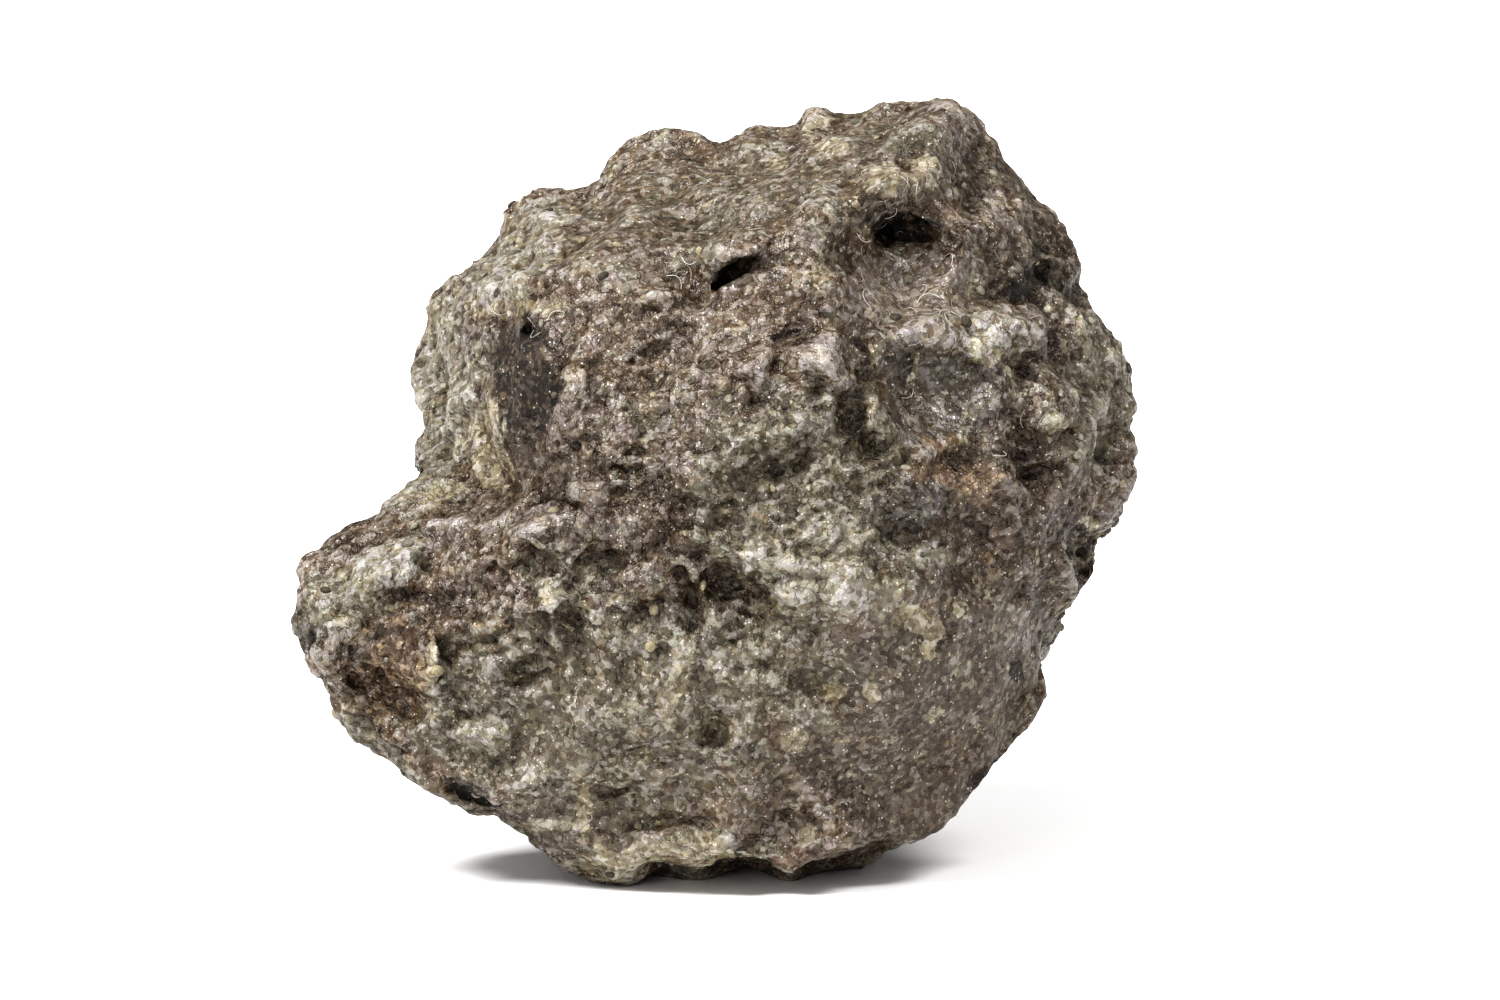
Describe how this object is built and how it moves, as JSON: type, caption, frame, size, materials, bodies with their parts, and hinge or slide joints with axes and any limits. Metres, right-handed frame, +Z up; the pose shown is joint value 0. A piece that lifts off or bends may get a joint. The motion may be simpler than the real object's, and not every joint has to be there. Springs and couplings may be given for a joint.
{
  "type": "chondrite meteorite",
  "caption": "Rounded lump of weathered brown stony meteorite with thumb-printed faces, a notch and a blunt lobe at one side, resting on a small flat spot.",
  "frame": {"origin": "on the resting surface, under the middle of the stone's bounding box", "axes": "+Z up; the stone's pictured face looks towards -Y, and its lobe points towards -X"},
  "size_m": [0.0398, 0.0306, 0.0355],
  "materials": {
    "meteorite": "dull weathered crust, dark brown with paler olive and cream grains"
  },
  "bodies": {
    "root": {"meteorite": "meteorite"}
  },
  "joints": []
}
